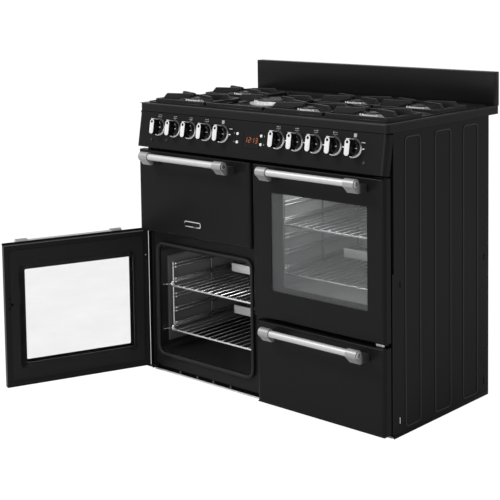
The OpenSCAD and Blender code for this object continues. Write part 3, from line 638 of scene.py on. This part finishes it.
def side_bead_highlights():
    """Painted highlight: pale strips along the crests of the side panels' pressed outlines."""
    crest, thin, wide, inset, corner = 0.4981, 0.0002, 0.0034, 0.0025, 0.016
    z0, z1 = 0.020, 0.866
    bm = bmesh.new()
    for side in (-1, 1):
        low, high = side * crest - thin, side * crest + thin
        for y0, y1 in ((-0.216, -0.136), (-0.064, 0.023), (0.088, 0.172)):
            for y in (y0 + inset, y1 - inset):
                block(bm, (low, y - wide / 2, z0 + corner), (high, y + wide / 2, z1 - corner))
            for z in (z0 + inset, z1 - inset):
                block(bm, (low, y0 + corner, z - wide / 2), (high, y1 - corner, z + wide / 2))
            for y, z, start in ((y0 + corner, z0 + corner, 180), (y1 - corner, z0 + corner, 270),
                                (y1 - corner, z1 - corner, 0), (y0 + corner, z1 - corner, 90)):
                centre = Vector((side * (crest + thin), y, z))
                along = Matrix.Rotation(math.radians(start), 3, "X") @ Vector((0, 1, 0))
                ends = [bm.verts.new(centre + along * (corner - inset + step))
                        for step in (-wide / 2, wide / 2)]
                bmesh.ops.spin(bm, geom=[*ends, bm.edges.new(ends)], cent=centre, axis=(1, 0, 0),
                               angle=math.radians(90), steps=6)
    finish_piece("bead_crest_highlights", bm, "bead", "carcass")


def hob_edge_highlight():
    """Painted highlight: a thin pale line along the hob's upper front and side edges."""
    z0, z1, soft = HOB_TOP - 0.0016, HOB_TOP - 0.0002, 0.0003
    block_piece("hob_edge_highlight", "bead", "carcass",
                [((-0.4980, -0.2999, z0), (0.4980, -0.2988, z1), soft),
                 *[((low, -0.2985, z0), (high, 0.2900, z1), soft)
                   for low, high in both_sides(0.4988, 0.4999)]])


def upright_splash():
    """The splashback as photographed: an upright slab with softened edges."""
    piece = block_piece("splash_slab", "splash", "carcass",
                        [((-0.4780, 0.2645, HOB_TOP), (0.4975, 0.2945, 1.0128), 0.0016)])
    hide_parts("splashback")


# ---------------------------------------------------------------- doors and handles

def opened_left():
    """Brings a point of the closed left door to where the door stands open."""
    x, y = LEFT_HINGE
    return at(x, y, 0) @ Matrix.Rotation(math.radians(-LEFT_OPEN), 4, "Z") @ at(-x, -y, 0)


def handle_ends(prefix, body, centre, height, place=Matrix.Identity(4)):
    """Raised ring and dished button on both outer ends of a handle."""
    for side, end in ((-1, "a"), (1, "b")):
        outward = (place @ at(centre + side * BAR_LONG / 2, DOOR_FACE - BAR_OUT, height)
                   @ Matrix.Rotation(math.radians(90 * side), 4, "Y"))
        bm = bmesh.new()
        bmesh.ops.create_circle(bm, radius=0.0094, segments=40)
        rim = bmesh.ops.extrude_edge_only(bm, edges=bm.edges[:])["geom"]
        inner = [v for v in rim if isinstance(v, bmesh.types.BMVert)]
        bmesh.ops.scale(bm, vec=(0.76, 0.76, 1.0), verts=inner)
        bmesh.ops.translate(bm, vec=(0, 0, 0.0007), verts=inner)
        bmesh.ops.transform(bm, matrix=outward @ at(0, 0, 0.0002), verts=bm.verts)
        finish_piece("%s_ring_%s" % (prefix, end), bm, "tip", body)
        bm = bmesh.new()
        disc(bm, 0.0052, 0.0012, outward @ at(0, 0, -0.0004), 28, 0.0006)
        finish_piece("%s_button_%s" % (prefix, end), bm, "cap_end", body)


def door_fittings():
    """Latch holes, a screw and the top lip of the open door."""
    place, liner = opened_left(), LINER_FACE - 0.0003
    bm = bmesh.new()
    # the holes are flat discs of painted shade
    for z, radius in ((0.3110, 0.0030), (0.2790, 0.0036), (0.2950, 0.0022)):
        disc(bm, radius, 0.0005, place @ at(-0.0180, liner, z) @ TO_BACK, 16)
    finish_piece("latch_holes", bm, "dark", "left_door")
    bm = bmesh.new()
    disc(bm, 0.0020, 0.0010, place @ at(-0.4860, liner, 0.4000) @ TO_BACK, 16, 0.0003)
    finish_piece("liner_screws", bm, "zinc", "left_door")
    block_piece("door_top_lip", "door", "left_door",
                [((-0.4950, -0.3148, 0.4800), (-0.0050, -0.3100, 0.4858), 0.0008)], place)


# ---------------------------------------------------------------- ovens

def rod(bm, points, radius):
    """A round wire through a few points, with mitred corners."""
    last = len(points) - 1
    loops = []
    for index, point in enumerate(points):
        before = (point - points[index - 1]).normalized() if index else None
        after = (points[index + 1] - point).normalized() if index < last else None
        along = ((before or after) + (after or before)).normalized()
        turn = along.to_track_quat("Z", "Y").to_matrix().to_4x4()
        ring = bmesh.ops.create_circle(bm, cap_ends=index in (0, last), radius=radius, segments=12,
                                       matrix=Matrix.Translation(point) @ turn)["verts"]
        loops.append(edges_of(ring))
    for first, second in zip(loops, loops[1:]):
        bmesh.ops.bridge_loops(bm, edges=first + second)


def runner_ends(oven, middle, lift):
    """Polished ends of the side racks' paired wires."""
    rack, half_gap = 0.1864, 0.0058
    bm = bmesh.new()
    for radius, long, y in ((0.0027, 0.0016, -0.2252), (0.0031, 0.0046, -0.2127)):
        for x in (middle - rack, middle + rack):
            for z in RUNGS:
                for dz in (-half_gap, half_gap):
                    disc(bm, radius, long, at(x, y, z + lift + dz) @ TO_FRONT, 16, 0.0009)
    finish_piece(oven + "_runner_ends", bm, "tip", "carcass")


def rack_clips(oven, middle, lift):
    """Wire clips that hold the side racks to the oven's front edge."""
    bm = bmesh.new()
    for z in (0.292 + lift, 0.140 + lift):
        for side in (-1, 1):
            wall = middle + side * 0.1975
            rod(bm, [Vector((wall, -0.262, z + 0.004)), Vector((wall, -0.238, z)),
                     Vector((middle + side * 0.1912, -0.2215, z))], 0.0016)
    finish_piece(oven + "_rack_clips", bm, "wire", "carcass")


def fan_cover(oven, middle, lift):
    """Plate over the rear fan, its slots in four rings, and the lamp glass beside it."""
    face = at(middle, 0.1778, 0.2485 + lift) @ TO_FRONT
    bm = bmesh.new()
    slab(bm, 0.300, 0.250, 0.030, 0.0040, face, 0.0015)
    disc(bm, 0.0850, 0.0030, face @ at(0, 0, 0.0042), 48, 0.0010)
    finish_piece(oven + "_fan_cover", bm, oven + "_oven", "carcass")
    bm = bmesh.new()
    # the slots are flat slabs of painted shade
    for radius in (0.022, 0.040, 0.058, 0.074):
        count = int(radius * 400)
        for k in range(count):
            turn = Matrix.Rotation(2 * math.pi * k / count, 4, "Z")
            slab(bm, 0.0022, 0.0060, 0.0010, 0.0004, face @ turn @ at(radius, 0, 0.0073), arc=2)
    finish_piece(oven + "_fan_slots", bm, "dark", "carcass")
    bm = bmesh.new()
    disc(bm, 0.0200, 0.0060, at(middle - 0.110, 0.1775, 0.3760 + lift) @ TO_FRONT, 32, 0.0020)
    finish_piece(oven + "_lamp_glass", bm, "card", "carcass")


def grill_element():
    """Heating rod in five runs under the grill's roof."""
    left, right, front, pitch, height = -0.400, -0.096, -0.220, 0.070, 0.716
    path = []
    for run in range(5):
        ends = (right, left) if run % 2 else (left, right)
        path += [Vector((x, front + pitch * run, height)) for x in ends]
    bm = bmesh.new()
    rod(bm, path, 0.0032)
    finish_piece("grill_element", bm, "frame", "carcass")


def oven_details():
    """The fittings inside both ovens and the grill."""
    for oven, middle, lift in (("left", -OVEN_MIDDLE, 0.0), ("right", OVEN_MIDDLE, OVEN_LIFT)):
        runner_ends(oven, middle, lift)
        rack_clips(oven, middle, lift)
        fan_cover(oven, middle, lift)
    grill_element()


def blank_tags():
    """Plain packing tags that stand on the shelves."""
    wide, tall = 0.1150, 0.0285
    for name, body, x, z in (("upper", "upper_shelf", -0.3740, 0.3020),
                             ("lower", "lower_shelf", -0.3660, 0.1560),
                             ("right_lower", "carcass", 0.1125, 0.4240)):
        block_piece(name + "_tag", "card", body,
                    [((x, -0.0010, z), (x + wide, 0.0030, z + tall), 0.0008)])


# ---------------------------------------------------------------- hob fittings

def burners():
    """Middle and crown radius of each burner: two in a column, and the wok burner alone in its own."""
    pairs = [((left + right) / 2, y, BURNER_R) for n, (left, right) in enumerate(COLUMNS)
             if n != WOK_COLUMN for y in ROWS]
    return pairs + [(sum(COLUMNS[WOK_COLUMN]) / 2, sum(ROWS) / 2, WOK_R)]


def burner_details():
    """Igniter, flame sensor and toothed flame ring of each burner."""
    beside, pin_foot, ring_foot = 0.005, 0.9112, 0.9128
    pins, tips, teeth = bmesh.new(), bmesh.new(), bmesh.new()
    for x, y, r in burners():
        for turn in (math.radians(215), math.radians(325)):
            spot = at(x + (r + beside) * math.cos(turn), y + (r + beside) * math.sin(turn), pin_foot)
            disc(pins, 0.0024, 0.0068, spot, 14, 0.0006)
            disc(tips, 0.0008, 0.0030, spot @ at(0, 0, 0.0066), 10)
        count = 60 if r == WOK_R else 36
        for k in range(count):
            block(teeth, (r - 0.0005, -0.0011, 0.0), (r + 0.0008, 0.0011, 0.0048), 0.0,
                  at(x, y, ring_foot) @ Matrix.Rotation(2 * math.pi * k / count, 4, "Z"))
    finish_piece("igniters", pins, "ceramic", "carcass")
    finish_piece("igniter_tips", tips, "chrome", "carcass")
    finish_piece("flame_teeth", teeth, "crown", "carcass")


# ---------------------------------------------------------------- stage

def floor():
    """Pale floor: the camera and the windows see it white, and it keeps the cooker's shadow."""
    bm = bmesh.new()
    bmesh.ops.create_grid(bm, x_segments=1, y_segments=1, size=40.0)
    mesh = bpy.data.meshes.new("floor")
    bm.to_mesh(mesh)
    bm.free()
    f = Finish("pale_floor")
    body = f.blend(f.noise(40.0), grey(0.86), grey(0.90))
    matt = f.node("BsdfPrincipled", {}, Base_Color=body, Roughness=0.8)
    white = f.node("Emission", {}, Strength=1.15)
    mesh.materials.append(f.output(f.node("MixShader", {}, f.seen() * 0.86, matt, white)))
    ground = bpy.data.objects.new("floor", mesh)
    bpy.context.scene.collection.objects.link(ground)


def surroundings():
    """White where the camera or a window sees it, softer in reflections and as a light."""
    seen_level, mirrored_level, base_level = 0.70, 0.38, 0.32
    f = Finish("studio", "worlds")
    mirrored = f.node("LightPath", {}, out="Is Glossy Ray")
    strength = f.seen() * seen_level + (mirrored * mirrored_level + base_level)
    bpy.context.scene.world = f.output(f.node("Background", {}, grey(1.0), strength), "OutputWorld")


# ---------------------------------------------------------------- the scene

make_camera()
surroundings()
soft_lamp("key_light", (-1.7, -3.4, 4.1), (0.0, 0.0, 0.6), (1.5, 1.3), 148.0)
soft_lamp("front_light", (1.0, -4.6, 1.6), (0.0, 0.0, 0.5), (2.4, 1.6), 36.0)
soft_lamp("side_light", (4.2, 0.4, 2.2), (0.3, 0.0, 0.5), (2.4, 2.2), 9.0)
soft_lamp("right_oven_light", (0.248, -0.130, 0.697), (0.248, -0.130, 0.400), (0.36, 0.14), 0.8)
soft_lamp("left_oven_light", (-0.150, -0.120, 0.372), (-0.400, -0.050, 0.240), (0.10, 0.10), 0.24)
floor()
dress_nodes()
knob_faces()
clock_figures()
panel_marks()
lamp_lenses()
plain_plate()
carcass_trim()
side_bead_highlights()
hob_edge_highlight()
upright_splash()
handle_ends("grill_handle", "grill_door", -0.248, 0.743)
handle_ends("right_handle", "right_door", 0.256, 0.743)
handle_ends("drawer_handle", "drawer", 0.260, 0.257)
handle_ends("left_handle", "left_door", -0.248, 0.469, opened_left())
door_fittings()
oven_details()
blank_tags()
burner_details()

bpy.context.scene.view_settings.view_transform = "Standard"
